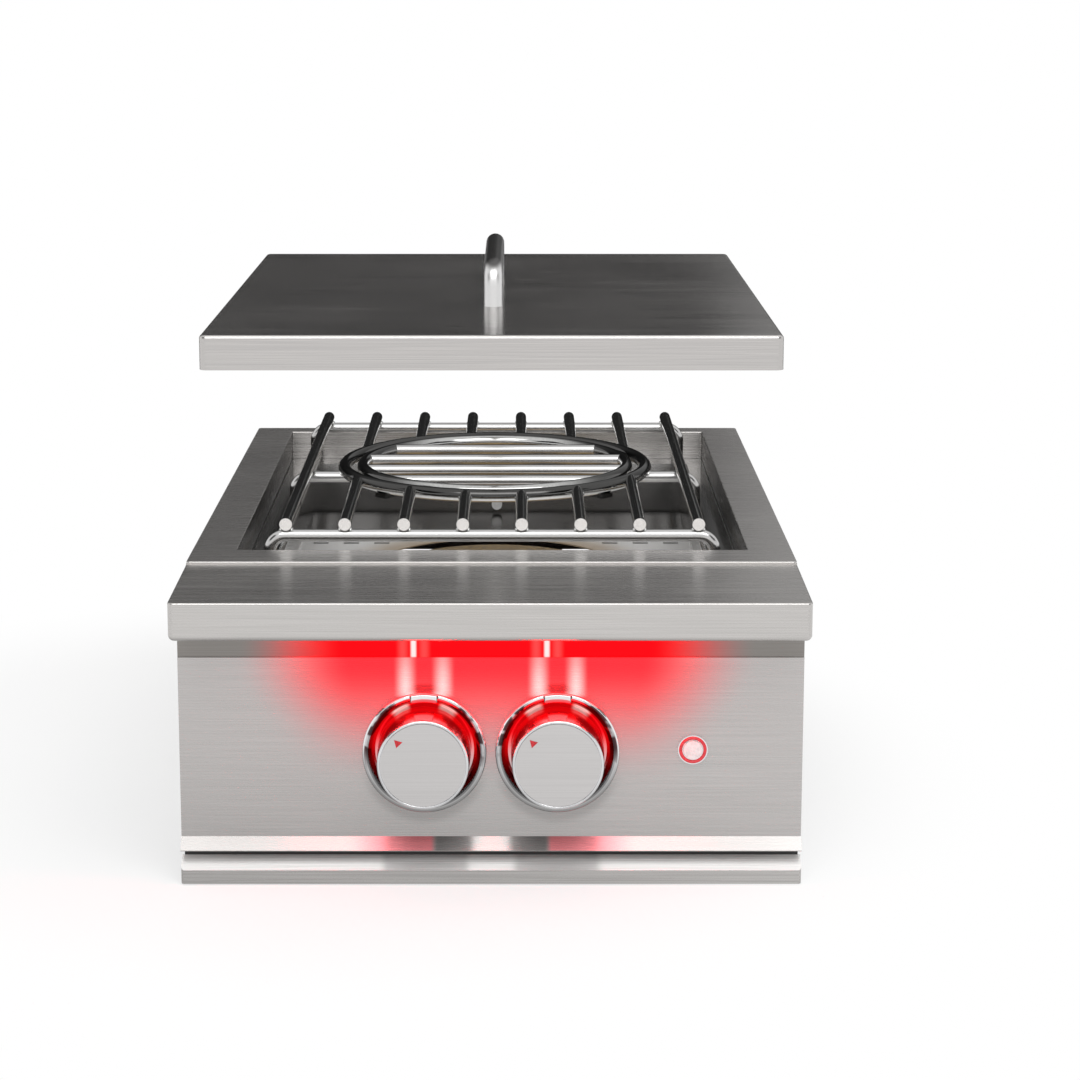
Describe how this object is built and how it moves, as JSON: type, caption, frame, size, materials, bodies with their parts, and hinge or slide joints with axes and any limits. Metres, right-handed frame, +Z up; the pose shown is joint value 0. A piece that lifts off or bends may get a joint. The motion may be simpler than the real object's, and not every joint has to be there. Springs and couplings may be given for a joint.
{
  "type": "built-in gas power burner",
  "caption": "Drop-in stainless gas burner for an outdoor kitchen, with a rod grate and lift-out wok ring insert, lift-off lid, lit push-and-turn knobs and a drip tray.",
  "frame": {"origin": "middle of the underside of the whole box, at the foot flanges", "axes": "+X to the right seen from the front, +Y to the back, +Z up"},
  "size_m": [0.47, 0.692, 0.447],
  "materials": {
    "brushed_steel": "brushed stainless steel, fine straight grain",
    "housing_steel": "plain rolled stainless sheet",
    "pan_steel": "smooth stainless sheet, slightly mirrored",
    "rod_steel": "polished stainless rod",
    "handle_steel": "polished stainless bar",
    "fastener_steel": "plain stainless",
    "polished_chrome": "bright chrome plate",
    "satin_face": "satin disc",
    "red_mark": "red enamel",
    "cast_brass": "as cast, dulled by heat",
    "valve_brass": "machined brass",
    "valve_zinc": "die cast, plain",
    "tube_steel": "drawn steel tube",
    "spring_steel": "spring wire",
    "light_aluminium": "extruded, plain",
    "light_lens_red": "frosted red lens, lit",
    "light_board_white": "white solder mask",
    "driver_plastic": "black case",
    "glow_ring_red": "red translucent ring, lit",
    "button_white": "white push cap"
  },
  "bodies": {
    "base": {"air_shutters": "tube_steel", "burner_pan": "pan_steel", "burner_supports": "housing_steel", "control_panel": "brushed_steel", "firewall": "housing_steel", "front_bullnose": "brushed_steel", "gas_inlet": "valve_brass", "gas_jets": "valve_brass", "gas_pipe": "tube_steel", "housing_floor": "housing_steel", "inlet_locknut": "valve_brass", "inner_burner": "cast_brass", "inner_burner_cap": "cast_brass", "knob_bezels": "polished_chrome", "left_mixing_tube": "tube_steel", "left_side": "housing_steel", "light_board": "light_board_white", "light_channel": "light_aluminium", "light_driver": "driver_plastic", "light_lens": "light_lens_red", "light_switch": "polished_chrome", "outer_burner": "cast_brass", "outer_burner_cap": "cast_brass", "pan_bolt": "fastener_steel", "pan_ledge": "housing_steel", "rear_wall": "housing_steel", "right_mixing_tube": "tube_steel", "right_side": "housing_steel", "sheet_screws": "fastener_steel", "switch_glow_ring": "glow_ring_red", "switch_nut": "fastener_steel", "top_frame": "brushed_steel", "tray_rails": "housing_steel", "upper_fascia": "brushed_steel", "valve_bodies": "valve_brass", "valve_bonnets": "valve_zinc"},
    "grate": {"grate_rods": "rod_steel", "wok_ring": "rod_steel", "grate_rails": "rod_steel", "grate_crossbars": "rod_steel"},
    "wok_insert": {"insert_ring": "rod_steel", "insert_bars": "rod_steel"},
    "lid": {"lid_shell": "brushed_steel", "lid_handle": "handle_steel", "lid_handle_screws": "fastener_steel"},
    "left_valve": {"left_valve_plug": "valve_brass", "left_stem_spring": "spring_steel"},
    "left_knob": {"left_stem": "tube_steel", "left_knob": "polished_chrome", "left_knob_face": "satin_face", "left_pointer": "red_mark"},
    "right_valve": {"right_valve_plug": "valve_brass", "right_stem_spring": "spring_steel"},
    "right_knob": {"right_stem": "tube_steel", "right_knob": "polished_chrome", "right_knob_face": "satin_face", "right_pointer": "red_mark"},
    "light_button": {"light_button": "button_white"},
    "drip_tray": {"tray_pan": "housing_steel", "tray_front": "brushed_steel"}
  },
  "joints": [
    {"name": "grate_lift", "type": "slide", "parent": "base", "child": "grate", "axis": [0, 0, 1], "range_m": [0, 0.12]},
    {"name": "insert_lift", "type": "slide", "parent": "grate", "child": "wok_insert", "axis": [0, 0, 1], "range_m": [0, 0.12]},
    {"name": "lid_lift", "type": "slide", "parent": "wok_insert", "child": "lid", "axis": [0, 0, 1], "range_m": [-0.146, 0.1]},
    {"name": "tray_slide", "type": "slide", "parent": "base", "child": "drip_tray", "axis": [0, -1, 0], "range_m": [0, 0.4]},
    {"name": "left_knob_turn", "type": "hinge", "parent": "base", "child": "left_valve", "pos_m": [-0.05, -0.3, 0.105], "axis": [0, -1, 0], "range_deg": [0, 240]},
    {"name": "left_knob_push", "type": "slide", "parent": "left_valve", "child": "left_knob", "axis": [0, 1, 0], "range_m": [0, 0.0035], "stiffness_N_per_m": 1500, "deforming": ["left_stem_spring"]},
    {"name": "right_knob_turn", "type": "hinge", "parent": "base", "child": "right_valve", "pos_m": [0.05, -0.3, 0.105], "axis": [0, -1, 0], "range_deg": [0, 240]},
    {"name": "right_knob_push", "type": "slide", "parent": "right_valve", "child": "right_knob", "axis": [0, 1, 0], "range_m": [0, 0.0035], "stiffness_N_per_m": 1500, "deforming": ["right_stem_spring"]},
    {"name": "light_button_press", "type": "slide", "parent": "base", "child": "light_button", "axis": [0, 1, 0], "range_m": [0, 0.0015], "stiffness_N_per_m": 800}
  ]
}
